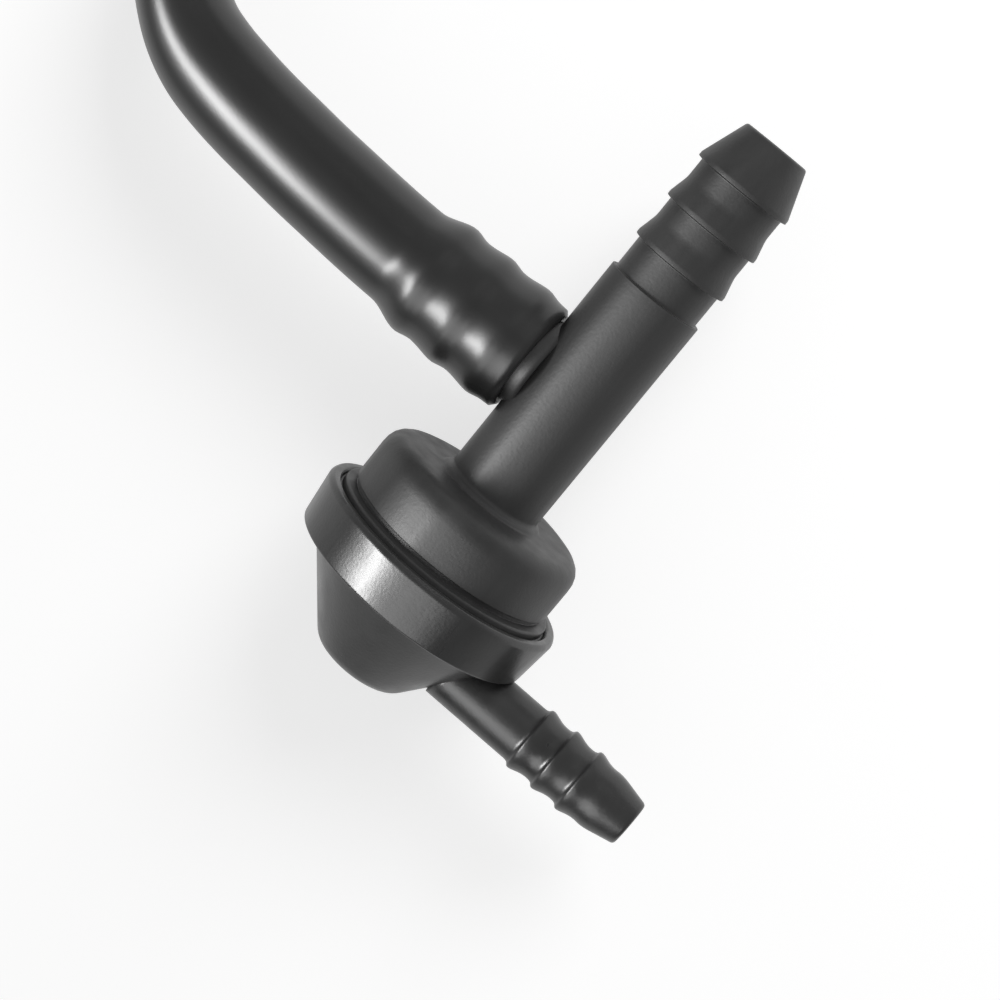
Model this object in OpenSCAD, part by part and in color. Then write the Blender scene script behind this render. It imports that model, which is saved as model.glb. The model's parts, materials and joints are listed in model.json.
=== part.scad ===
// In-line check valve with a tee, a small outlet port and a formed hose that ends in a quick connector.
// Millimetres. +X runs along the valve's main axis, from the cup to the top port, +Z is up, and the
// valve lies on z = 0 on the rim of its cup. The hose leaves towards +Y and the outlet towards -Y.

/* [Housing] */
// Outside diameter of the bell-shaped cover
cover_d = 27; // [22:0.5:40]
// Height of the cover above the rim of the cup
cover_h = 8.3; // [7:0.1:14]
// Radius of the cover's rounded shoulder
shoulder_r = 2.7; // [1:0.1:3.5]
// Wall of the cover and of the cup
wall = 1.6; // [1:0.1:2]
// How far the cover's flange stands out from its wall, inside the cup's rim
flange_w = 1.1; // [0.9:0.1:2]
// Depth of the cover's flange below the rim
flange_h = 3.6; // [3:0.1:5]
// Thickness of the cup's rim outside the flange
rim_w = 1.45; // [1:0.05:3]
// How much the rim tapers in towards the cone, on the radius
rim_taper = 0.6; // [0:0.1:0.8]
// Height of the cup's rim
rim_h = 6.2; // [6.1:0.1:12]
// How far the cup's cone is set in under its rim
cone_inset = 2.4; // [1.5:0.1:2.6]
// Depth of the cone below the rim
cone_h = 10.9; // [9.5:0.1:20]
// Diameter of the cone at its bottom, before the edge is rounded
bottom_d = 10.8; // [9:0.1:13]
// Radius of the rounded edge at the cone's bottom
edge_r = 3; // [1:0.1:4]
// Thickness of the cup's floor
floor_t = 1.6; // [1:0.1:2.5]

/* [Main tube and its ports] */
// Outside diameter of the main tube
tube_d = 12; // [10.5:0.1:16]
// Length of the main tube, from the cover to the collar
tube_l = 29.4; // [23:0.1:60]
// Bore of the main tube, its top port and its tee
bore_d = 6.4; // [4.6:0.1:7.4]
// Height of the tee above the cover
tee_h = 14.9; // [11:0.1:18]
// Distance from the main axis to the root of the tee's fir-tree
tee_root = 5.3; // [4.6:0.1:10]
// Shank diameter of the top port and the tee
port_shank_d = 11; // [9.5:0.1:11.5]
// Crest diameter of the barbs of the top port and the tee
port_crest_d = 12.1; // [11.6:0.1:14]
// Diameter of the nose of the top port and the tee
port_tip_d = 8.2; // [7.8:0.1:9.2]
// Height of the first barb above the root
port_first = 4.1; // [2:0.1:8]
// Distance between barbs
port_pitch = 5.35; // [4:0.05:8]
// Length of the nose beyond the last crest
port_nose = 5.9; // [4:0.1:10]

/* [Outlet port] */
// How far the outlet's axis lies below the cup's rim face
outlet_drop = 10.1; // [10:0.1:11]
// Shank diameter of the outlet
outlet_shank_d = 7.4; // [6:0.1:7.5]
// Crest diameter of the outlet's barbs
outlet_crest_d = 8.3; // [7.8:0.1:10]
// Diameter of the outlet's nose
outlet_tip_d = 5.7; // [5:0.1:6.5]
// Bore of the outlet
outlet_bore_d = 3.6; // [2:0.1:4.4]
// Distance from the main axis to the first barb
outlet_first = 20.9; // [17:0.1:40]
// Distance between the outlet's barbs
outlet_pitch = 3.6; // [3:0.05:6]
// Distance from the last barb to the end of the nose
outlet_nose = 7.7; // [4:0.1:10]

/* [Valve inside] */
// Thickness of the seat plate
plate_t = 1.6; // [1.4:0.1:1.8]
// Diameter of the poppet
poppet_d = 16; // [13:0.5:17.5]
// Thickness of the poppet's disc
poppet_t = 1.2; // [0.8:0.1:2]
// Diameter of the poppet's stem
stem_d = 3; // [2:0.1:4]
// Running clearance of the stem in its guide, on the radius
stem_gap = 0.05; // [0.02:0.01:0.09]
// Length of the stem guide below the seat plate
guide_l = 4.4; // [2:0.1:5]
// Thickness of the rubber sealing washer
seal_t = 0.8; // [0.5:0.1:1.2]
// Wire diameter of the return spring
spring_wire = 0.5; // [0.3:0.05:0.8]
// Mean diameter of the return spring
spring_d = 8.2; // [7.6:0.1:9]
// Turns of the return spring
spring_turns = 5; // [3:1:8]

/* [Hose] */
// Outside diameter of the hose
hose_d = 12.5; // [10:0.1:14]
// Wall of the hose
hose_wall = 1.5; // [1:0.1:2]

/* [Quick connector] */
// Outside diameter of the connector's end rings, which is also what it rests on
connector_d = 17; // [15.8:0.1:20]
// Outside diameter of the connector's barrel
barrel_d = 15.2; // [14.6:0.1:15.6]
// Length of the connector beyond the hose
connector_l = 26; // [24.4:0.1:40]
// Diameter of the spigot that the connector takes
spigot_d = 8; // [7:0.1:8.6]
// How far the release clip travels
clip_travel = 1.8; // [0.5:0.1:2]

/* [Hidden] */
$fn = 96;
eps = 0.01;
face_gap = 0.05;        // between parts that seat in each other
land = 0.5;             // length of the cylindrical land on a barb's crest
barb_step = 0.2;        // length over which a barb's back rises
ramp_share = 0.52;      // share of the pitch that a barb and its ramp take
barb_count = 3;

cover_r = cover_d / 2;
flange_r = cover_r + flange_w;
pocket_r = flange_r + face_gap;
rim_r = pocket_r + rim_w;
tube_r = tube_d / 2;
bore_r = bore_d / 2;
roof_z = cover_h - wall;

// Heights along the main axis, from the rim of the cup
plate_top = -flange_h;
plate_bottom = plate_top - plate_t;
cone_top = -rim_h;
cup_bottom = cone_top - cone_h;
tee_z = cover_h + tee_h;
collar_z = cover_h + tube_l;

// Reach of the ports, from where each fir-tree starts
port_last = port_first + (barb_count - 1) * port_pitch;
port_l = port_last + port_nose;
top_z = collar_z + port_l;
tee_reach = tee_root + port_l;
outlet_last = outlet_first + (barb_count - 1) * outlet_pitch;
outlet_reach = outlet_last + outlet_nose;

// The row's origin is under the middle of the valve's own box
axis_z = rim_r;
row_x = -(cup_bottom + top_z) / 2;
row_y = (outlet_reach - tee_reach) / 2;

// Cup
groove_z = 0.6;         // groove between the cover's wall and the bead
groove_h = 0.65;
groove_t = 0.45;
bead_r = cover_r + 0.85;
flange_top = 0.5;       // how far the flange's top lies below the rim
cone_r = rim_r - cone_inset;
cavity_r = pocket_r - 3;
mouth_chamfer = 0.25;
ring_wire = plate_t - 2 * face_gap;
ring_mean = pocket_r - face_gap - ring_wire / 2;
plate_r = ring_mean - ring_wire / 2 - face_gap;

// Seat and poppet
seat_h = 0.4;
seat_r = poppet_d / 2 - 0.8;
seat_w = 0.6;
hole_d = 2.2;
hole_count = 8;
guide_r = stem_d / 2 + stem_gap;
guide_wall = 1.1;
hole_ring = (guide_r + guide_wall + seat_r - seat_w) / 2;
seal_bottom = plate_top + seat_h;
disc_bottom = seal_bottom + seal_t;
disc_top = disc_bottom + poppet_t;
spring_boss_h = 1.4;
spring_boss_r = spring_d / 2 - spring_wire / 2 - 0.3;
locator_w = 0.9;
locator_h = 1.2;
locator_r = spring_d / 2 + spring_wire / 2 + 0.3;

// Hose on the tee
hose_r = hose_d / 2;
hose_bore_r = hose_r - hose_wall;
hose_start = tube_r + 0.2;
hose_grip_end = tee_reach + 0.5;
nose_share = (port_crest_d / 2 - hose_bore_r) / (port_crest_d / 2 - port_tip_d / 2);
hose_free = tee_root + port_last + land + max(0.1, min(1, nose_share)) * (port_nose - land) + 0.15;

// Route of the hose's middle, from where it is free of the tee: towards +Y, then round to +X
route = [
    [0, 0, 0], [0.1, 4, 0], [0.3, 8.5, 0], [0.5, 13, -0.1], [0.8, 17.5, -0.3], [1.1, 22, -0.6],
    [1.6, 26.5, -1], [2.4, 30.8, -1.5], [4, 35, -2], [6.6, 38.7, -2.5], [10.1, 41.6, -3],
    [14.2, 43.7, -3.5], [18.8, 45.1, -4], [23.6, 46.4, -4.5], [28.9, 47.8, -5], [34.2, 49.2, -5.5],
    [39.5, 50.6, -6], [44.8, 52, -6.4], [50.1, 53.4, -6.8], [55.4, 54.8, -7.2], [60.7, 56.3, -7.5],
    [66, 57.7, -7.6], [71.3, 59.1, -7.6]
];
route_end = route[len(route) - 1];
hose_sides = 12;

// Connector, along its own axis from the end of the hose
connector_turn = 15;
connector_r = connector_d / 2;
barrel_r = barrel_d / 2;
shank_l = 15;
shoulder_z = shank_l + 1.5;
shank_d = hose_d - 2 * hose_wall - 0.2;
shank_crest_d = shank_d + 1;
shank_bore_r = 2.9;
shank_pitch = 4.6;
shoulder_t = 2.2;
socket_r = spigot_d / 2 + 0.1;
socket_z = 5;
gland_z = 10;
seal_wire = 1.78;
gland_r = socket_r + seal_wire + 0.02;
spacer_t = 1;
mouth_r = gland_r + 0.4;
mouth_z = gland_z + 7;
bush_flange_t = 1.2;
clip_t = 1.4;
clip_gap = 0.2;
clip_z = connector_l - 5.5;
leg_in = socket_r + 0.3;
leg_out = leg_in + 2.2;
bridge_t = 1.8;
leg_reach = 3.6;
mouth_ring_t = 3.2;

// Radius of a hose stretched over something, with its wall's area kept
function stretched(inner_r) = sqrt(pow(inner_r, 2) + pow(hose_r, 2) - pow(hose_bore_r, 2));

// Outline [radius, height] of three sharp-backed barbs on a shank, from the root to the last crest
function barbs(shank_r, crest_r, first, pitch) = [
    [shank_r, 0],
    for (i = [0:barb_count - 1]) let (z = first + i * pitch)
        each [[shank_r, z - barb_step], [crest_r, z], [crest_r, z + land],
              if (i < barb_count - 1) [shank_r, z + pitch * ramp_share]]
];

// The valve's own axis, with local x towards the tee and local y up
module on_valve() {
    translate([row_x, row_y, axis_z]) rotate([90, 0, 90]) children();
}

// The connector's own axis, at the end of the hose, with local y up
module on_connector() {
    translate([row_x + tee_z, row_y + hose_grip_end, axis_z] + route_end)
        rotate([0, 0, connector_turn]) rotate([90, 0, 90]) children();
}

// From the main axis outwards along the tee, and along the outlet
module on_tee() {
    translate([0, 0, tee_z]) rotate([0, 90, 0]) children();
}
module on_outlet() {
    translate([0, 0, -outlet_drop]) rotate([0, -90, 0]) children();
}

// Flat ring between two radii and two heights
module ring(inner_r, outer_r, z0, z1) {
    rotate_extrude() translate([inner_r, z0]) square([outer_r - inner_r, z1 - z0]);
}

module o_ring(mean_r, wire) {
    rotate_extrude() translate([mean_r, 0]) circle(d = wire, $fn = 32);
}

// Solid fir-tree with its root at z = 0
module large_port() {
    rotate_extrude() polygon([
        [0, 0],
        each barbs(port_shank_d / 2, port_crest_d / 2, port_first, port_pitch),
        [port_tip_d / 2, port_l - 0.3], [port_tip_d / 2 - 0.3, port_l], [0, port_l]
    ]);
}

module cover_shell() {
    // outside of the bell, with its flange, the groove and the thin bead of the joint
    rotate_extrude() difference() {
        union() {
            translate([0, -flange_h]) square([cover_r, flange_h + cover_h - shoulder_r]);
            translate([0, cover_h - shoulder_r]) square([cover_r - shoulder_r, shoulder_r]);
            translate([cover_r - shoulder_r, cover_h - shoulder_r]) circle(shoulder_r);
            translate([0, -flange_h]) square([flange_r, flange_h - flange_top]);
            polygon([[0, -flange_top - eps], [bead_r, -flange_top - eps], [bead_r, groove_z - 0.3],
                     [bead_r - 0.15, groove_z - 0.07], [bead_r - 0.4, groove_z], [0, groove_z]]);
        }
        translate([cover_r - groove_t, groove_z]) square([groove_t + 1, groove_h]);
        translate([-cover_r, -flange_h - cover_r]) square([cover_r, 3 * cover_r]);
    }
}

module valve_cover() {
    color("#3a3a3c") on_valve() difference() {
        union() {
            cover_shell();
            translate([0, 0, roof_z]) cylinder(r = tube_r, h = collar_z - roof_z);
            translate([0, 0, cover_h]) cylinder(r1 = tube_r + 0.6, r2 = tube_r, h = 0.6);
            translate([0, 0, collar_z - eps]) large_port();
            on_tee() {
                cylinder(d = port_shank_d, h = tee_root + eps);
                translate([0, 0, tee_root]) large_port();
            }
        }
        // chamber, with the ring that centres the spring left standing
        difference() {
            translate([0, 0, -flange_h - eps])
                cylinder(r = cover_r - wall, h = flange_h + roof_z + eps);
            ring(locator_r, locator_r + locator_w, roof_z - locator_h, roof_z + eps);
        }
        translate([0, 0, roof_z - eps]) cylinder(r = bore_r, h = top_z - roof_z + 1);
        on_tee() cylinder(r = bore_r, h = tee_reach + 1);
    }
}

// The cup: a rim with a sloping ledge, and a cone whose bottom edge is rounded
module cup_outside() {
    slope = atan((cone_r - bottom_d / 2) / cone_h);
    turn = 90 - slope;
    edge_x = bottom_d / 2 - edge_r * tan(turn / 2);
    rotate_extrude() polygon([
        [0, 0], [pocket_r + 0.55, 0], [rim_r - 0.45, -0.25], [rim_r - 0.12, -0.5], [rim_r, -0.8],
        [rim_r - rim_taper, cone_top + 0.3], [rim_r - rim_taper - 0.3, cone_top], [cone_r, cone_top],
        for (i = [6:-1:0]) [edge_x + edge_r * sin(turn * i / 6), cup_bottom + edge_r * (1 - cos(turn * i / 6))],
        [0, cup_bottom]
    ]);
}

module outlet_port() {
    shank_r = outlet_shank_d / 2;
    rotate_extrude() polygon([
        [0, 0],
        each barbs(shank_r, outlet_crest_d / 2, outlet_first, outlet_pitch),
        [shank_r + 0.05, outlet_last + outlet_nose * 0.32], [shank_r, outlet_last + outlet_nose * 0.54],
        [outlet_tip_d / 2 + 0.4, outlet_reach - 1], [outlet_tip_d / 2, outlet_reach],
        [0, outlet_reach]
    ]);
}

module cup_cavity() {
    inner_top = min(cavity_r, cone_r - wall);
    rotate_extrude() polygon([
        [0, plate_bottom], [cavity_r, plate_bottom], [inner_top, cone_top - 0.4],
        [bottom_d / 2 - wall, cup_bottom + floor_t], [0, cup_bottom + floor_t]
    ]);
}

module valve_cup() {
    color("#424244") on_valve() difference() {
        union() {
            cup_outside();
            on_outlet() outlet_port();
        }
        translate([0, 0, plate_bottom]) cylinder(r = pocket_r, h = -plate_bottom + 1);
        translate([0, 0, -mouth_chamfer])
            cylinder(r1 = pocket_r, r2 = pocket_r + 2 * mouth_chamfer, h = 2 * mouth_chamfer);
        cup_cavity();
        on_outlet() cylinder(d = outlet_bore_d, h = outlet_reach + 1);
    }
}

// Plate clamped between cover and cup, with flow holes, a raised seat and the stem's guide
module seat_plate() {
    color("#6b6b66") on_valve() difference() {
        union() {
            translate([0, 0, plate_bottom]) cylinder(r = plate_r, h = plate_t);
            ring(seat_r - seat_w, seat_r, plate_top - eps, plate_top + seat_h);
            translate([0, 0, plate_bottom - guide_l])
                cylinder(r = guide_r + guide_wall, h = guide_l + eps);
        }
        translate([0, 0, plate_bottom - guide_l - 1])
            cylinder(r = guide_r, h = guide_l + plate_t + 2);
        for (i = [0:hole_count - 1]) rotate([0, 0, (i + 0.5) * 360 / hole_count])
            translate([hole_ring, 0, plate_bottom - 1]) cylinder(d = hole_d, h = plate_t + 2, $fn = 32);
    }
}

module joint_ring() {
    color("#1c1c1c") on_valve() translate([0, 0, (plate_top + plate_bottom) / 2])
        o_ring(ring_mean, ring_wire);
}

module valve_poppet() {
    color("#8a8a80") on_valve() {
        translate([0, 0, disc_bottom]) cylinder(d = poppet_d, h = poppet_t);
        translate([0, 0, disc_top - eps]) cylinder(r = spring_boss_r, h = spring_boss_h);
        translate([0, 0, plate_bottom - guide_l - 0.8])
            cylinder(d = stem_d, h = disc_bottom - plate_bottom + guide_l + 0.8 + eps);
    }
}

module poppet_seal() {
    color("#1e1e1e") on_valve()
        ring(seat_r - seat_w - 0.9, poppet_d / 2 - 0.1, seal_bottom, disc_bottom);
}

// Round wire along a helix
module return_spring() {
    sides = 8;
    steps = 18 * spring_turns;
    low = disc_top + spring_wire / 2;
    high = roof_z - spring_wire / 2;
    wire_r = spring_wire / 2;
    rings = [for (i = [0:steps]) let (a = 360 * spring_turns * i / steps, z = low + (high - low) * i / steps)
        [for (k = [0:sides - 1]) let (b = 360 * k / sides, r = spring_d / 2 + wire_r * cos(b))
            [r * cos(a), r * sin(a), z + wire_r * sin(b)]]];
    color("#a8a8a8") on_valve() skin(rings);
}

// Closed skin over rings of points
module skin(rings) {
    n = len(rings[0]);
    last = len(rings) - 1;
    polyhedron(
        points = [for (r = rings) each r],
        faces = [
            [for (k = [0:n - 1]) k],
            for (i = [0:last - 1], k = [0:n - 1])
                [i * n + k, (i + 1) * n + k, (i + 1) * n + (k + 1) % n, i * n + (k + 1) % n],
            [for (k = [n - 1:-1:0]) last * n + k]
        ]);
}

// The end of the hose that is stretched over the tee
module hose_tee_end() {
    shape = [for (p = barbs(port_shank_d / 2, port_crest_d / 2, port_first, port_pitch))
        [p[0] + face_gap, p[1] + tee_root]];
    grip = [[shape[0][0], hose_start], for (p = shape) if (p[1] > hose_start + 0.3) p];
    color("#2c2c2e") on_valve() on_tee() rotate_extrude() polygon([
        each grip,
        [hose_bore_r, hose_free], [hose_bore_r, hose_grip_end], [hose_r, hose_grip_end],
        [hose_r, hose_free],
        for (i = [len(grip) - 1:-1:0]) [stretched(grip[i][0]), grip[i][1]]
    ]);
}

// The free length of the hose: a hollow tube through the route's points
module formed_hose() {
    count = len(route);
    tangent = [for (i = [0:count - 1])
        let (d = route[min(i + 1, count - 1)] - route[max(i - 1, 0)]) d / norm(d)];
    flat_end = [cos(connector_turn), sin(connector_turn), 0];
    along = [for (i = [0:count - 1]) i == 0 ? [0, 1, 0] : i == count - 1 ? flat_end : tangent[i]];
    rings = [for (radius = [hose_r, hose_bore_r], i = [0:count - 1])
        let (side = cross(along[i], [0, 0, 1]) / norm(cross(along[i], [0, 0, 1])),
             up = cross(side, along[i]))
        [for (k = [0:hose_sides - 1]) let (a = 360 * k / hose_sides)
            route[i] + radius * (cos(a) * side + sin(a) * up)]];
    n = hose_sides;
    inner = count * n;
    color("#2c2c2e") translate([row_x + tee_z, row_y + hose_grip_end, axis_z]) polyhedron(
        points = [for (r = rings) each r],
        faces = [for (k = [0:n - 1]) let (m = (k + 1) % n, far = (count - 1) * n) each [
            [k, m, inner + m, inner + k],
            [far + m, far + k, inner + far + k, inner + far + m],
            for (i = [0:count - 2]) let (a = i * n, b = (i + 1) * n) each [
                [a + k, b + k, b + m, a + m],
                [inner + a + m, inner + b + m, inner + b + k, inner + a + k]]]]);
}

// The end of the hose that is stretched over the connector's shank
module hose_connector_end() {
    shape = connector_barbs();
    color("#2c2c2e") on_connector() rotate_extrude() polygon([
        [hose_bore_r, 0],
        for (i = [len(shape) - 1:-1:0]) [shape[i][0] + face_gap, shoulder_z - shape[i][1]],
        for (i = [0:len(shape) - 1]) [stretched(shape[i][0] + face_gap), shoulder_z - shape[i][1]],
        [hose_r, 0]
    ]);
}

// Barbs of the connector's shank, measured from its shoulder back into the hose
function connector_barbs() = barbs(shank_d / 2, shank_crest_d / 2, 3, shank_pitch);

module on_shoulder() {
    translate([0, 0, shoulder_z]) children();
}

module connector_body() {
    color("#26262a") on_connector() on_shoulder() difference() {
        union() {
            mirror([0, 0, 1]) rotate_extrude() polygon([
                [0, 0], each connector_barbs(), [shank_d / 2 - 0.6, shank_l], [0, shank_l]
            ]);
            cylinder(r = connector_r, h = shoulder_t);
            translate([0, 0, shoulder_t - eps]) cylinder(r = barrel_r, h = connector_l - shoulder_t);
            translate([0, 0, connector_l - mouth_ring_t]) cylinder(r = connector_r, h = mouth_ring_t);
        }
        translate([0, 0, -shank_l - 1]) cylinder(r = shank_bore_r, h = shank_l + socket_z + 2);
        translate([0, 0, socket_z]) cylinder(r = socket_r, h = connector_l);
        translate([0, 0, gland_z]) cylinder(r = gland_r, h = connector_l);
        translate([0, 0, mouth_z]) cylinder(r = mouth_r, h = connector_l);
        for (side = [-1, 1]) translate([side * (leg_in - clip_gap + connector_r / 2), 0, clip_z + clip_t / 2])
            cube([connector_r, 3 * connector_r, clip_t + 2 * clip_gap], center = true);
    }
}

module inner_o_ring() {
    color("#1a1a1a") on_connector() on_shoulder()
        translate([0, 0, gland_z + face_gap + seal_wire / 2])
            o_ring(socket_r + seal_wire / 2 + 0.01, seal_wire);
}

module o_ring_spacer() {
    z0 = gland_z + 2 * face_gap + seal_wire;
    color("#b9b9b0") on_connector() on_shoulder()
        ring(socket_r + face_gap, gland_r - face_gap, z0, z0 + spacer_t);
}

module outer_o_ring() {
    color("#1a1a1a") on_connector() on_shoulder()
        translate([0, 0, gland_z + 3 * face_gap + spacer_t + seal_wire * 1.5])
            o_ring(socket_r + seal_wire / 2 + 0.01, seal_wire);
}

module retaining_bush() {
    z0 = gland_z + 4 * face_gap + spacer_t + 2 * seal_wire;
    color("#c9c9c2") on_connector() on_shoulder() {
        ring(socket_r + face_gap, gland_r - face_gap, z0, mouth_z + 0.1);
        ring(socket_r + face_gap, mouth_r - face_gap, mouth_z + face_gap, mouth_z + bush_flange_t);
    }
}

// Horseshoe clip across the barrel, pushed down to release the spigot
module release_clip() {
    bridge_y = barrel_r + clip_travel + 0.3;
    color("#d8d8d2") on_connector() on_shoulder() translate([0, 0, clip_z]) {
        for (side = [-1, 1]) translate([side > 0 ? leg_in : -leg_out, -leg_reach, 0])
            cube([leg_out - leg_in, bridge_y + leg_reach + eps, clip_t]);
        translate([-leg_out, bridge_y, 0]) cube([2 * leg_out, bridge_t, clip_t]);
    }
}

valve_cover();
valve_cup();
seat_plate();
joint_ring();
valve_poppet();
poppet_seal();
return_spring();
hose_tee_end();
formed_hose();
hose_connector_end();
connector_body();
inner_o_ring();
o_ring_spacer();
outer_o_ring();
retaining_bush();
release_clip();
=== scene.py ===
"""Looks of the check valve with its formed hose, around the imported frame.
Sizes are in mm; MM makes them metres."""

import json
import math

import bpy
import numpy as np
from mathutils import Matrix, Quaternion, Vector


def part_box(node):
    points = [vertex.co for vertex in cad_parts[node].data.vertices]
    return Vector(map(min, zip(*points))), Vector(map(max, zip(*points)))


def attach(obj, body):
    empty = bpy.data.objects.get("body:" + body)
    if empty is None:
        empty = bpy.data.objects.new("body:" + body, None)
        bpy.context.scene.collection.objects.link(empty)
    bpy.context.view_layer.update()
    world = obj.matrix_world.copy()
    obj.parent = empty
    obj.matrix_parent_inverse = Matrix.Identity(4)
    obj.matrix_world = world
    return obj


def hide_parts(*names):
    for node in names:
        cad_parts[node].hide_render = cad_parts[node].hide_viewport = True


MM = 0.001

# ---------------------------------------------------------------- sizes
# Valve, along its main axis from the rim's ledge
COVER_R = 13.5
COVER_H = 8.3
COVER_WALL = 1.6
COVER_BORE_R = 11.9
SHOULDER_R = 2.7
FLANGE_R = 14.6
FLANGE_H = 3.6
FLANGE_TOP = -0.5
POCKET_R = 14.65
POCKET_FLOOR = -5.2
LEDGE_CHAMFER = 0.3
RIM_R = 16.1
RIM_TAPER = 0.6
RIM_H = 6.2
CONE_R = 13.7
CONE_H = 10.9
CUP_BORE_R = 11.65
CUP_FLOOR_R = 3.8
FLOOR_T = 1.6
BOTTOM_R = 5.4
EDGE_ROUNDING = 1.65
AXIS_GAP = 0.02  # a turned wall starts this far from its axis
GROOVE_Z = 0.6
GROOVE_H = 0.65
GROOVE_T = 0.45
BEAD_R = 14.35
TUBE_R = 6.0
BORE_R = 3.2
ROOT_RING = 0.55, 0.45  # how far the ring at the tube's foot stands out, and its height
ROOT_SKIRT = 0.85
ROOT_TOP = 0.75
COLLAR_Z = 37.7
TEE_Z = 23.2
TEE_ROOT = 5.3
NIPPLE_ROOT = 4.6
# Fir-trees of the top port and the tee
BARBS = 3
SHANK_R = 5.5
CREST_R = 6.05
TIP_R = 4.1
FIRST = 4.1
PITCH = 5.35
NOSE = 5.9
LAND = 0.5
RAMP = 2.75
BACK_LEAN = 0.12
PORT_L = FIRST + (BARBS - 1) * PITCH + NOSE
# Outlet port
OUTLET_Z = -10.1
OUTLET_SHANK_R = 3.7
OUTLET_CREST_R = 4.15
OUTLET_TIP_R = 2.85
OUTLET_BORE_R = 1.8
OUTLET_FIRST = 20.9
OUTLET_PITCH = 3.6
OUTLET_NOSE = 7.7
OUTLET_ROOT = 8.4
OUTLET_BACK = 0.35
OUTLET_LAND = 0.45
OUTLET_RAMP = 2.0
NOSE_WAIST = 2.1
NOSE_SWELL = 3.6
# Hose
HOSE_R = 6.25
HOSE_BORE_R = 4.75
HOSE_START = 6.2
HOSE_FREE = 24.7
GRIP_END = 26.5
MOUTH_EDGE = 0.7
MOUTH_TURN_IN = 0.9
HUMP_BEFORE = 1.25
HUMP_AFTER = 2.0
TEE_SHANK_FIT = SHANK_R + 0.12
TEE_CREST_FIT = CREST_R + 0.06
END_FIRST = 3.2
END_SHANK_R = 4.6
END_CREST_R = 5.1
END_GRIP = 15.5
ROUTE = [
    (0, 0, 0), (0.1, 4, 0), (0.3, 8.5, 0), (0.5, 13, -0.1), (0.8, 17.5, -0.3), (1.1, 22, -0.6),
    (1.6, 26.5, -1), (2.4, 30.8, -1.5), (4, 35, -2), (6.6, 38.7, -2.5), (10.1, 41.6, -3),
    (14.2, 43.7, -3.5), (18.8, 45.1, -4), (23.6, 46.4, -4.5), (28.9, 47.8, -5), (34.2, 49.2, -5.5),
    (39.5, 50.6, -6), (44.8, 52, -6.4), (50.1, 53.4, -6.8), (55.4, 54.8, -7.2), (60.7, 56.3, -7.5),
    (66, 57.7, -7.6), (71.3, 59.1, -7.6),
]
# The bend: the route point in its middle, how far it spreads, how much it narrows the hose in its
# own plane and widens it across
BEND_AT = 9
BEND_SPREAD = 7.0
BEND_PINCH = 0.14
BEND_WIDENING = 0.056
CONNECTOR_TURN = math.radians(15)
SHOULDER_Z = 16.5
SHANK_PITCH = 4.6
# Camera, from the valve's origin
CAMERA_PLACE = (60.7, -25.1, 237.3)
CAMERA_TARGET = (8.75, -1.0, 0.0)
CAMERA_ROLL = math.radians(115.2)
CAMERA_LENS = 77.8

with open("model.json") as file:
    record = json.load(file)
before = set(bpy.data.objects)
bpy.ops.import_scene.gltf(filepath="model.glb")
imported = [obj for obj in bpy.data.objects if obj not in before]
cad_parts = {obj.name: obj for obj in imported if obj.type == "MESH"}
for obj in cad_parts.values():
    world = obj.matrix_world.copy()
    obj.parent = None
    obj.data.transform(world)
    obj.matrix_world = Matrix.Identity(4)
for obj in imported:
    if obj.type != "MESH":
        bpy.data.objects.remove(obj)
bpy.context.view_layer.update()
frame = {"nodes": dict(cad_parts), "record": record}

# The valve's own origin, on the main axis at the rim's ledge
cover_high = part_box("valve_cover")[1]
VALVE = np.array([cover_high.x / MM - COLLAR_Z - PORT_L,
                  cover_high.y / MM - TEE_ROOT - PORT_L, RIM_R])
HOSE_EXIT = VALVE + [TEE_Z, GRIP_END, 0]
ROUTE_END = HOSE_EXIT + ROUTE[-1]


# ---------------------------------------------------------------- mesh helpers
def placed(name, data):
    """A new object of the scene that holds the data."""
    obj = bpy.data.objects.new(name, data)
    bpy.context.scene.collection.objects.link(obj)
    return obj


def select_only(*objects):
    """Selects these objects alone and makes the first one active."""
    bpy.ops.object.select_all(action="DESELECT")
    for obj in objects:
        obj.select_set(True)
    bpy.context.view_layer.objects.active = objects[0]


def mesh_object(name, points, faces, uv=None):
    """A mesh from points in mm and quads; uv holds one pair for each corner of each quad."""
    mesh = bpy.data.meshes.new(name)
    mesh.from_pydata((np.asarray(points) * MM).tolist(), [], np.asarray(faces).tolist())
    mesh.polygons.foreach_set("use_smooth", np.ones(len(mesh.polygons), bool))
    mesh.update()
    if uv is not None:
        mesh.uv_layers.new(name="UVMap").data.foreach_set("uv", np.asarray(uv, np.float32).ravel())
    return placed(name, mesh)


def grid_faces(rows, columns, close_rows):
    """Quads of a grid whose columns close on themselves; its rows do where close_rows is true."""
    i = np.arange(rows if close_rows else rows - 1)[:, None]
    k = np.arange(columns)[None, :]
    j, m = (i + 1) % rows, (k + 1) % columns
    quads = [i * columns + k, i * columns + m, j * columns + m, j * columns + k]
    return np.stack(quads, -1).reshape(-1, 4)


def rounded(corners, steps=5):
    """A closed outline of (radius, height, rounding) corners, each replaced by an arc of its own.
    The arc is the quadratic curve between its tangent points with the corner as its pull."""
    points = np.array([corner[:2] for corner in corners], float)
    before, after = np.roll(points, 1, 0), np.roll(points, -1, 0)
    t = np.linspace(0, 1, steps)[:, None]
    out = []
    for point, a, b, (_, _, rounding) in zip(points, before, after, corners):
        if rounding <= 0:
            out.append(point[None])
            continue
        p, q = (point + (end - point) / np.linalg.norm(end - point)
                * min(rounding, 0.48 * np.linalg.norm(end - point)) for end in (a, b))
        out.append((1 - t) ** 2 * p + 2 * t * (1 - t) * point + t ** 2 * q)
    return np.concatenate(out)


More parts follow.
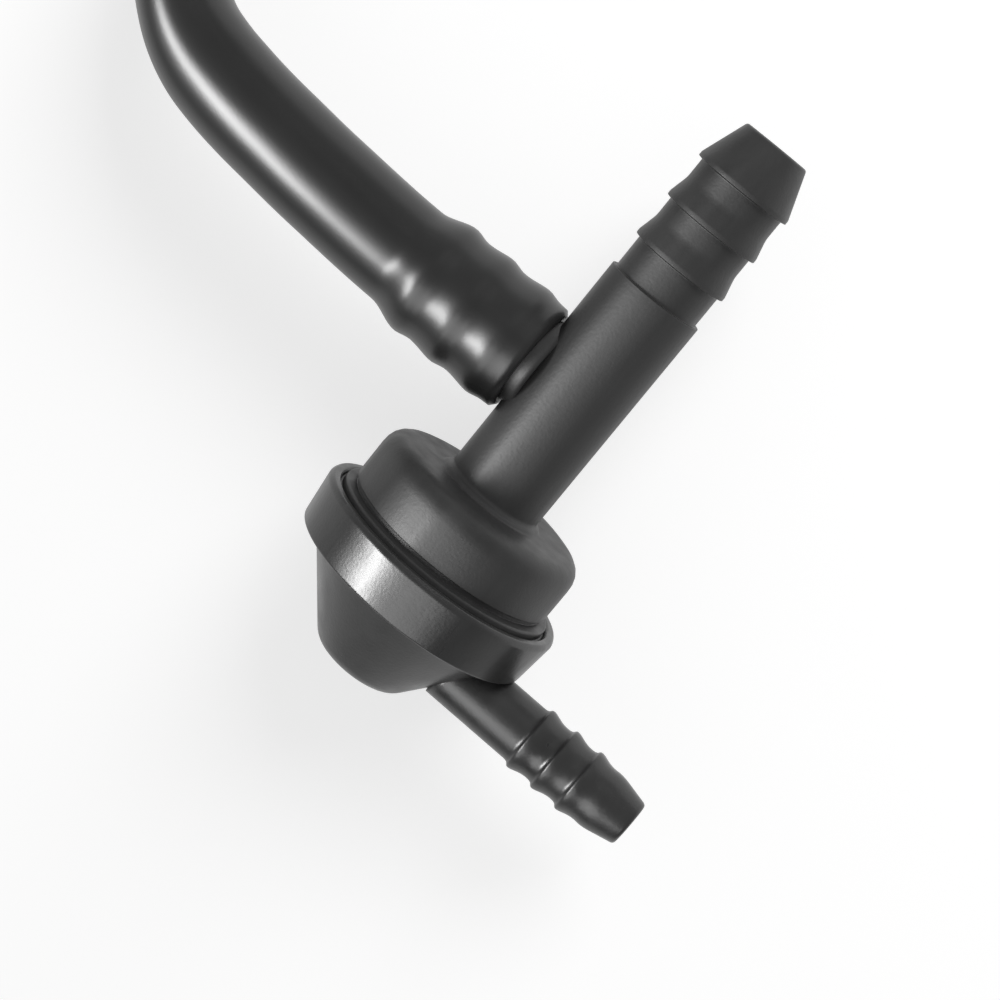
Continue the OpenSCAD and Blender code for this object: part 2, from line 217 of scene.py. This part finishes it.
def spaced(outline, longest):
    """The closed outline with points added so that no step is longer than given."""
    after = np.roll(outline, -1, 0)
    parts = []
    for a, b in zip(outline, after):
        count = max(1, int(math.ceil(np.linalg.norm(b - a) / longest)))
        parts.append(a + (b - a) * (np.arange(count) / count)[:, None])
    return np.concatenate(parts)


def turned(name, outline, place, sides=192, longest=1.5):
    """A ring solid: point = place(radius * cos(turn), radius * sin(turn), height), over the closed
    outline and the full turn."""
    outline = spaced(outline, longest)
    turn = 2 * math.pi * np.arange(sides) / sides
    radius, height = (np.repeat(outline[:, k:k + 1], sides, 1) for k in (0, 1))
    local = np.stack([radius * np.cos(turn), radius * np.sin(turn), height], -1).reshape(-1, 3)
    return outward(mesh_object(name, place(local), grid_faces(len(outline), sides, True)))


def outward(obj):
    """Turns the faces of a closed mesh outwards: its signed volume has to be positive."""
    mesh = obj.data
    co = np.zeros(len(mesh.vertices) * 3)
    mesh.vertices.foreach_get("co", co)
    co = co.reshape(-1, 3)
    mesh.calc_loop_triangles()
    tri = np.zeros(len(mesh.loop_triangles) * 3, int)
    mesh.loop_triangles.foreach_get("vertices", tri)
    a, b, c = (co[tri.reshape(-1, 3)[:, k]] for k in range(3))
    if np.einsum("ij,ij->i", a, np.cross(b, c)).sum() < 0:
        mesh.flip_normals()
    return obj


def joined(first, *others):
    """One piece out of several closed walls."""
    select_only(first, *others)
    bpy.ops.object.join()
    return first


def on_main(local):
    """From the valve's own axes (x to the tee, y up, z along the main axis) to the row's."""
    return VALVE + local[:, [2, 0, 1]]


def on_tee(local):
    """The tee's own axis: height runs to +Y."""
    return VALVE + np.stack([TEE_Z + local[:, 0], local[:, 2], local[:, 1]], -1)


def on_outlet(local):
    """The outlet's own axis: height runs to -Y."""
    return VALVE + np.stack([OUTLET_Z + local[:, 0], -local[:, 2], local[:, 1]], -1)


# ---------------------------------------------------------------- camera
def camera():
    """Looks down on the valve from the outlet's side, with the main axis rising to the right."""
    position = (VALVE + CAMERA_PLACE) * MM
    target = (VALVE + CAMERA_TARGET) * MM
    data = bpy.data.cameras.new("camera")
    data.lens = CAMERA_LENS
    data.sensor_width = 36
    data.clip_start = 0.01
    obj = placed("camera", data)
    view = (Vector(target) - Vector(position)).normalized()
    obj.rotation_mode = "QUATERNION"
    obj.rotation_quaternion = Quaternion(view, CAMERA_ROLL) @ view.to_track_quat("-Z", "Y")
    obj.location = position
    bpy.context.scene.camera = obj
    return obj.rotation_quaternion.to_matrix().col


PICTURE_RIGHT, PICTURE_UP, PICTURE_BACK = camera()


# ---------------------------------------------------------------- hose
def smooth_route(step):
    """The route's curve: a Catmull-Rom spline through its points, sampled evenly, with straight
    ends over the tee and over the connector's shank."""
    turn = np.array([math.cos(CONNECTOR_TURN), math.sin(CONNECTOR_TURN), 0])
    free = HOSE_EXIT + np.asarray(ROUTE, float)
    start = HOSE_EXIT + np.array([0, 1, 0]) * np.array([HOSE_START - GRIP_END, -10, -5])[:, None]
    end = ROUTE_END + turn * np.array([5.5, 11, SHOULDER_Z])[:, None]
    knots = np.concatenate([start, free, end])
    padded = np.concatenate([2 * knots[:1] - knots[1:2], knots, 2 * knots[-1:] - knots[-2:-1]])
    t = np.linspace(0, 1, 24, endpoint=False)[:, None, None]
    p0, p1, p2, p3 = padded[:-3], padded[1:-2], padded[2:-1], padded[3:]
    dense = 0.5 * (2 * p1 + (p2 - p0) * t + (2 * p0 - 5 * p1 + 4 * p2 - p3) * t ** 2
                   + (3 * p1 - p0 - 3 * p2 + p3) * t ** 3)
    dense = np.concatenate([dense.transpose(1, 0, 2).reshape(-1, 3), knots[-1:]])
    along = np.concatenate([[0], np.cumsum(np.linalg.norm(np.diff(dense, axis=0), axis=1))])
    even = np.linspace(0, along[-1], int(along[-1] / step) + 1)
    return np.stack([np.interp(even, along, dense[:, k]) for k in range(3)], -1), even


def stretched(inner):
    """Outer radius of the hose over something of that radius, with its wall's area kept."""
    return np.sqrt(inner ** 2 + HOSE_R ** 2 - HOSE_BORE_R ** 2)


def gripped(distance, crests, tail, shank, crest):
    """Inner radius of the hose over barbs, at a distance from its mouth: the largest of the soft
    humps that each crest pushes into the wall, on top of the shank, then down the nose to the
    hose's own bore."""
    nearest = np.full_like(distance, shank)
    for place in crests:
        reach = np.where(distance < place, HUMP_BEFORE, HUMP_AFTER)
        rise = np.exp(-((distance - place) / reach) ** 2)
        nearest = np.maximum(nearest, shank + (crest - shank) * rise)
    fall = np.clip((distance - crests[-1]) / (tail - crests[-1]), 0, 1)
    fall = fall * fall * (3 - 2 * fall)
    return np.where(distance > crests[-1], crest + (HOSE_BORE_R - crest) * fall, nearest)


def hose():
    """The hose as one wall: its outer and inner radius carried along the route, joined by rounded
    rims. The point is route + radius * (cos(turn) * side + sin(turn) * up), with side level and up
    square to it."""
    path, along = smooth_route(0.5)
    tangent = np.gradient(path, axis=0)
    tangent /= np.linalg.norm(tangent, axis=1)[:, None]
    side = np.cross(tangent, [0, 0, 1])
    side /= np.linalg.norm(side, axis=1)[:, None]
    up = np.cross(side, tangent)

    tee_crests = [TEE_ROOT + FIRST + k * PITCH + LAND / 2 - HOSE_START for k in range(BARBS)]
    tee_inner = gripped(along, tee_crests, HOSE_FREE - HOSE_START, TEE_SHANK_FIT, TEE_CREST_FIT)
    from_end = along[-1] - along
    end_crests = [END_FIRST + k * SHANK_PITCH for k in range(BARBS)]
    end_inner = gripped(from_end, end_crests, END_GRIP, END_SHANK_R, END_CREST_R)
    inner = np.where(along < along[-1] / 2, tee_inner, end_inner)
    outer = stretched(inner)

    # Rounded mouth rims: the outer radius turns in over the last stretch
    for distance in (along, from_end):
        near = np.clip(1 - distance / MOUTH_EDGE, 0, 1)
        outer = outer - MOUTH_EDGE * (1 - np.sqrt(1 - near ** 2)) * MOUTH_TURN_IN

    # The bend is a little flattened: narrower in its own plane, wider across it
    bend = np.argmin(np.linalg.norm(path - (HOSE_EXIT + ROUTE[BEND_AT]), axis=1))
    flat = np.exp(-((along - along[bend]) / BEND_SPREAD) ** 2)[:, None]
    side = side * (1 - BEND_PINCH * flat)
    up = up * (1 + BEND_WIDENING * flat)

    sides = 96
    turn = 2 * math.pi * np.arange(sides) / sides
    spoke = (np.cos(turn)[None, :, None] * side[:, None]
             + np.sin(turn)[None, :, None] * up[:, None])
    skin_out = path[:, None] + outer[:, None, None] * spoke
    skin_in = (path[:, None] + inner[:, None, None] * spoke)[::-1]
    points = np.concatenate([skin_out, skin_in]).reshape(-1, 3)
    # The pattern's coordinates in metres: along the hose, then around it
    row, column = np.meshgrid(np.arange(2 * len(path)), np.arange(sides), indexing="ij")
    length = np.concatenate([along, along[::-1] + 0.3])
    far = np.append(length, length[-1] + 0.3)
    around = 2 * math.pi * HOSE_R / sides
    corner_u = np.stack([length[row], length[row], far[row + 1], far[row + 1]], -1)
    corner_v = np.stack([column, column + 1, column + 1, column], -1) * around
    uv = np.stack([corner_u, corner_v], -1) * MM
    obj = mesh_object("formed_hose_skin", points, grid_faces(2 * len(path), sides, True), uv)
    return outward(obj), path


hose_skin, hose_path = hose()


# ---------------------------------------------------------------- valve
def fir_tree(start):
    """Corners of the three barbs and the nose from a root at that height: each barb has a sharp
    back, a short land and a straight ramp down to the shank."""
    corners = [(SHANK_R, start, 0.12)]
    for k in range(BARBS):
        z = start + FIRST + k * PITCH
        corners += [(SHANK_R, z - BACK_LEAN, 0.1), (CREST_R, z, 0.07), (CREST_R, z + LAND, 0.12)]
        if k < BARBS - 1:
            corners.append((SHANK_R, z + RAMP, 0.5))
    top = start + PORT_L
    return corners + [(TIP_R, top, 0.3), (BORE_R, top, 0.15)]


def valve_cover():
    """The bell, the main tube and the top port as one turned wall, and the tee as a second one
    whose root lies inside the tube's wall."""
    groove_r, groove_top = COVER_R - GROOVE_T, GROOVE_Z + GROOVE_H
    ring_out, ring_top = ROOT_RING
    ceiling = COVER_H - COVER_WALL
    corners = [
        (COVER_BORE_R, -FLANGE_H, 0), (FLANGE_R, -FLANGE_H, 0), (FLANGE_R, FLANGE_TOP, 0),
        (BEAD_R, FLANGE_TOP, 0.1), (BEAD_R, GROOVE_Z - 0.1, 0.3),
        (groove_r, GROOVE_Z, 0.1), (groove_r, groove_top, 0.1), (COVER_R, groove_top, 0.18),
        (COVER_R, COVER_H, SHOULDER_R), (TUBE_R + ROOT_SKIRT, COVER_H, 0.3),
        (TUBE_R + ring_out, COVER_H + ring_top, 0.25), (TUBE_R, COVER_H + ROOT_TOP, 0.4),
        (TUBE_R, COLLAR_Z, 0.12), *fir_tree(COLLAR_Z), (BORE_R, ceiling, 0),
        (COVER_BORE_R, ceiling, 0),
    ]
    shell = turned("valve_cover_skin", rounded(corners, 7), on_main, 256)
    root = [(BORE_R, NIPPLE_ROOT, 0), (SHANK_R, NIPPLE_ROOT, 0)]
    nipple = turned("tee_nipple", rounded(root + fir_tree(TEE_ROOT)), on_tee, 128)
    return joined(shell, nipple)


def outlet_corners():
    """The outlet port: three shallow barbs with soft crests, and a nose that swells a little."""
    corners = [(OUTLET_BORE_R, OUTLET_ROOT, 0), (OUTLET_SHANK_R, OUTLET_ROOT, 0)]
    for k in range(BARBS):
        y = OUTLET_FIRST + k * OUTLET_PITCH
        corners += [(OUTLET_SHANK_R - 0.02, y - OUTLET_BACK, 0.5), (OUTLET_CREST_R, y, 0.2),
                    (OUTLET_CREST_R, y + OUTLET_LAND, 0.5)]
        if k < BARBS - 1:
            corners.append((OUTLET_SHANK_R - 0.05, y + OUTLET_RAMP, 0.9))
    last = OUTLET_FIRST + (BARBS - 1) * OUTLET_PITCH
    tip = last + OUTLET_NOSE
    return corners + [
        (OUTLET_SHANK_R - 0.06, last + NOSE_WAIST, 0.9),
        (OUTLET_SHANK_R + 0.08, last + NOSE_SWELL, 1.2),
        (OUTLET_TIP_R, tip, 0.45), (OUTLET_BORE_R, tip, 0.15),
    ]


def valve_cup():
    """The rim, its sloping ledge, the cone and the cavity as one turned wall, and the outlet as a
    second one whose root lies inside the cone's wall."""
    bottom = -RIM_H - CONE_H
    corners = [
        (POCKET_R, POCKET_FLOOR, 0), (POCKET_R, -LEDGE_CHAMFER, 0.1),
        (POCKET_R + LEDGE_CHAMFER, 0, 0.15), (RIM_R - 0.35, -0.02, 0.2), (RIM_R, -0.55, 0.3),
        (RIM_R - RIM_TAPER, -RIM_H, 0.35), (CONE_R, -RIM_H, 0.5),
        (BOTTOM_R, bottom, EDGE_ROUNDING), (AXIS_GAP, bottom, 0),
        (AXIS_GAP, bottom + FLOOR_T, 0), (CUP_FLOOR_R, bottom + FLOOR_T, 0.8),
        (CUP_BORE_R, -RIM_H - 0.4, 0), (CUP_BORE_R, POCKET_FLOOR, 0),
    ]
    shell = turned("valve_cup_skin", rounded(corners, 9), on_main, 256)
    spout = turned("outlet", rounded(outlet_corners(), 7), on_outlet, 160)
    return joined(shell, spout)


cover_skin = valve_cover()
cup_skin = valve_cup()


# ---------------------------------------------------------------- connector and inner pieces
def softened(node, width):
    """A finished copy of a CAD node: its corners merged, flat faces joined and edges rounded."""
    mesh = frame["nodes"][node].data.copy()
    mesh.name = node + "_skin"
    mesh.materials.clear()
    obj = placed(node + "_skin", mesh)
    select_only(obj)
    bpy.ops.object.mode_set(mode="EDIT")
    bpy.ops.mesh.select_all(action="SELECT")
    bpy.ops.mesh.remove_doubles(threshold=1e-6)
    bpy.ops.mesh.dissolve_limited(angle_limit=math.radians(1.0))
    bpy.ops.object.mode_set(mode="OBJECT")
    edge = obj.modifiers.new("edges", "BEVEL")
    edge.width = width * MM
    edge.segments = 3
    edge.limit_method = "ANGLE"
    edge.angle_limit = math.radians(35)
    edge.harden_normals = True
    mesh.polygons.foreach_set("use_smooth", np.ones(len(mesh.polygons), bool))
    return obj


connector_skin = softened("connector_body", 0.25)
clip_skin = softened("release_clip", 0.2)
bush_skin = softened("retaining_bush", 0.12)


# ---------------------------------------------------------------- materials
def node_group(name, inputs, outputs):
    """An empty shader group with float inputs and outputs of the given names."""
    group = bpy.data.node_groups.new(name, "ShaderNodeTree")
    for label, value in inputs.items():
        socket = group.interface.new_socket(label, in_out="INPUT", socket_type="NodeSocketFloat")
        socket.default_value = value
    for label in outputs:
        group.interface.new_socket(label, in_out="OUTPUT", socket_type="NodeSocketFloat")
    return group, group.nodes.new("NodeGroupInput"), group.nodes.new("NodeGroupOutput")


def math_node(tree, operation, *inputs):
    """A math node whose inputs are numbers or other nodes' outputs. Gives its own output."""
    node = tree.nodes.new("ShaderNodeMath")
    node.operation = operation
    for socket, value in zip(node.inputs, inputs):
        if isinstance(value, bpy.types.NodeSocket):
            tree.links.new(value, socket)
        else:
            socket.default_value = value
    return node.outputs[0]


def moulding_group():
    """Skin of a moulded part: fine grain, flow streaks drawn out along X, and slow cloudiness."""
    group, inside, out = node_group(
        "moulded_skin", {"Grain": 2600.0, "Streak": 420.0}, ["Grain", "Streak", "Cloud"])
    nodes, links = group.nodes, group.links
    group.interface.new_socket("Place", in_out="INPUT", socket_type="NodeSocketVector")
    place = inside.outputs["Place"]
    drawn = nodes.new("ShaderNodeMapping")
    drawn.inputs["Scale"].default_value = (0.06, 1, 1)
    links.new(place, drawn.inputs["Vector"])
    for label, vector, source, detail in (("Grain", place, "Grain", 3),
                                          ("Streak", drawn.outputs["Vector"], "Streak", 5)):
        noise = nodes.new("ShaderNodeTexNoise")
        noise.inputs["Detail"].default_value = detail
        links.new(vector, noise.inputs["Vector"])
        links.new(inside.outputs[source], noise.inputs["Scale"])
        links.new(noise.outputs["Fac"], out.inputs[label])
    cloud = nodes.new("ShaderNodeTexNoise")
    cloud.inputs["Scale"].default_value = 90
    links.new(place, cloud.inputs["Vector"])
    links.new(cloud.outputs["Fac"], out.inputs["Cloud"])
    return group


MOULDED = moulding_group()


def moulded(name, dark, light, rough, bump, grain=2600.0, streak=420.0, coordinates="Object"):
    """A moulded plastic: colour between two tones by its clouds and streaks, roughness between two
    values by its streaks, and bump from grain and streaks together."""
    material = bpy.data.materials.new(name)
    material.use_nodes = True
    tree = material.node_tree
    nodes, links = tree.nodes, tree.links
    shader = nodes["Principled BSDF"]
    skin = nodes.new("ShaderNodeGroup")
    skin.node_tree = MOULDED
    coord = nodes.new("ShaderNodeTexCoord")
    links.new(coord.outputs[coordinates], skin.inputs["Place"])
    skin.inputs["Grain"].default_value = grain
    skin.inputs["Streak"].default_value = streak
    clouds = math_node(tree, "MULTIPLY", skin.outputs["Cloud"], 0.5)
    blend = math_node(tree, "MULTIPLY_ADD", skin.outputs["Streak"], 0.5, clouds)
    tone = nodes.new("ShaderNodeValToRGB")
    for stop, place, colour in zip(tone.color_ramp.elements, (0.35, 0.65), (dark, light)):
        stop.position = place
        stop.color = (*colour, 1)
    links.new(blend, tone.inputs["Fac"])
    links.new(tone.outputs["Color"], shader.inputs["Base Color"])
    gloss = nodes.new("ShaderNodeMapRange")
    for label, value in zip(("From Min", "From Max", "To Min", "To Max"), (0.3, 0.7, *rough)):
        gloss.inputs[label].default_value = value
    links.new(skin.outputs["Streak"], gloss.inputs["Value"])
    links.new(gloss.outputs["Result"], shader.inputs["Roughness"])
    height = math_node(tree, "MULTIPLY_ADD", skin.outputs["Streak"], 0.6, skin.outputs["Grain"])
    relief = nodes.new("ShaderNodeBump")
    relief.inputs["Strength"].default_value = bump
    relief.inputs["Distance"].default_value = 0.05 * MM
    links.new(height, relief.inputs["Height"])
    links.new(relief.outputs["Normal"], shader.inputs["Normal"])
    return material


def grey(value, warm=0.0):
    """A grey, with a little more red and less blue where warm is given."""
    return (value * (1 + warm), value, value * (1 - warm))


BLACK = moulded("black_moulding", grey(0.026), grey(0.037), (0.42, 0.56), 0.4)
CUP_BLACK = moulded("black_moulding_cup", grey(0.026), grey(0.037), (0.27, 0.4), 0.35)
HOSE = moulded("hose_nylon", grey(0.018), grey(0.026), (0.3, 0.38), 0.12, 1800.0, 260.0, "UV")
CONNECTOR = moulded("connector_moulding", grey(0.030), grey(0.045), (0.42, 0.55), 0.5)
NATURAL = moulded("natural_plastic", grey(0.50, 0.05), grey(0.58, 0.05), (0.45, 0.6), 0.3)
CLIP = moulded("clip_plastic", grey(0.60, 0.03), grey(0.68, 0.03), (0.35, 0.5), 0.3)
RUBBER = moulded("seal_rubber", grey(0.018), grey(0.026), (0.5, 0.65), 0.4)
STEEL = moulded("spring_steel", grey(0.5), grey(0.62), (0.22, 0.34), 0.3, 4000.0, 900.0)
STEEL.node_tree.nodes["Principled BSDF"].inputs["Metallic"].default_value = 1.0

SLOT_MATERIAL = {
    "black_moulding": BLACK, "hose_nylon": HOSE, "connector_moulding": CONNECTOR,
    "natural_plastic": NATURAL, "clip_plastic": CLIP, "seal_rubber": RUBBER, "spring_steel": STEEL,
}
for part in frame["record"]["subparts"]:
    node_mesh = frame["nodes"][part["node"]].data
    node_mesh.materials.clear()
    node_mesh.materials.append(SLOT_MATERIAL[part["material_slot"]])


def finish_piece(piece, slot, body, *nodes, material=None):
    """Gives a piece its own material or its slot's, hides the nodes it stands for, and ties it to
    its body.
    """
    piece.data.materials.clear()
    piece.data.materials.append(material or SLOT_MATERIAL[slot])
    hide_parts(*nodes)
    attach(piece, body)


finish_piece(cover_skin, "black_moulding", "valve", "valve_cover")
finish_piece(cup_skin, "black_moulding", "valve", "valve_cup", material=CUP_BLACK)
finish_piece(hose_skin, "hose_nylon", "valve", "hose_tee_end", "formed_hose", "hose_connector_end")
finish_piece(connector_skin, "connector_moulding", "valve", "connector_body")
finish_piece(bush_skin, "natural_plastic", "valve", "retaining_bush")
finish_piece(clip_skin, "clip_plastic", "clip", "release_clip")


# ---------------------------------------------------------------- studio
def softbox(name, right, up, back, distance, width, height, power, seen_in_gloss):
    """A lamp that the valve sees in that direction of the picture, aimed at the valve, with its
    height along the picture's up. It shows in glossy reflections or as plain light, not in both."""
    direction = (PICTURE_RIGHT * right + PICTURE_UP * up + PICTURE_BACK * back).normalized()
    tall = (PICTURE_UP - direction * PICTURE_UP.dot(direction)).normalized()
    data = bpy.data.lights.new(name, "AREA")
    data.shape = "RECTANGLE"
    data.size, data.size_y = width, height
    data.energy = power
    obj = placed(name, data)
    turn = Matrix((tall.cross(direction), tall, direction)).transposed().to_4x4()
    obj.matrix_world = Matrix.Translation(Vector(VALVE * MM) + direction * distance) @ turn
    obj.visible_glossy = seen_in_gloss
    obj.visible_diffuse = not seen_in_gloss


softbox("left_strip", right=-0.82, up=-0.05, back=0.57, distance=0.5,
        width=0.14, height=0.28, power=4.5, seen_in_gloss=True)
softbox("low_fill", right=-0.45, up=-0.60, back=0.66, distance=0.6,
        width=0.45, height=0.45, power=2.6, seen_in_gloss=True)
softbox("upper_right", right=0.45, up=0.50, back=0.74, distance=0.8,
        width=0.4, height=0.4, power=4.0, seen_in_gloss=False)


def floor():
    """A pale round floor. Seen directly or in gloss it is lifted towards white, and it keeps part
    of the shadow."""
    sides, reach, grey_level, lift = 96, 3000.0, 0.5, 0.68
    turn = 2 * math.pi * np.arange(sides) / sides
    ring = np.stack([reach * np.cos(turn), reach * np.sin(turn), np.zeros(sides)], -1)
    obj = mesh_object("floor", np.concatenate([ring, [[0, 0, 0]]]),
                      [(k, (k + 1) % sides, sides) for k in range(sides)])
    material = bpy.data.materials.new("floor_white")
    material.use_nodes = True
    tree = material.node_tree
    shader = tree.nodes["Principled BSDF"]
    shader.inputs["Base Color"].default_value = (*grey(grey_level), 1)
    shader.inputs["Roughness"].default_value = 0.9
    shader.inputs["Specular IOR Level"].default_value = 0.0
    shader.inputs["Emission Color"].default_value = (1, 1, 1, 1)
    ray = tree.nodes.new("ShaderNodeLightPath").outputs
    seen = math_node(tree, "MAXIMUM", ray["Is Camera Ray"], ray["Is Glossy Ray"])
    tree.links.new(math_node(tree, "MULTIPLY", seen, lift), shader.inputs["Emission Strength"])
    obj.data.materials.append(material)


floor()
world = bpy.data.worlds.new("studio")
bpy.context.scene.world = world
world.use_nodes = True
world.node_tree.nodes["Background"].inputs["Color"].default_value = (1, 1, 1, 1)
world.node_tree.nodes["Background"].inputs["Strength"].default_value = 0.3
bpy.context.scene.view_settings.view_transform = "Standard"
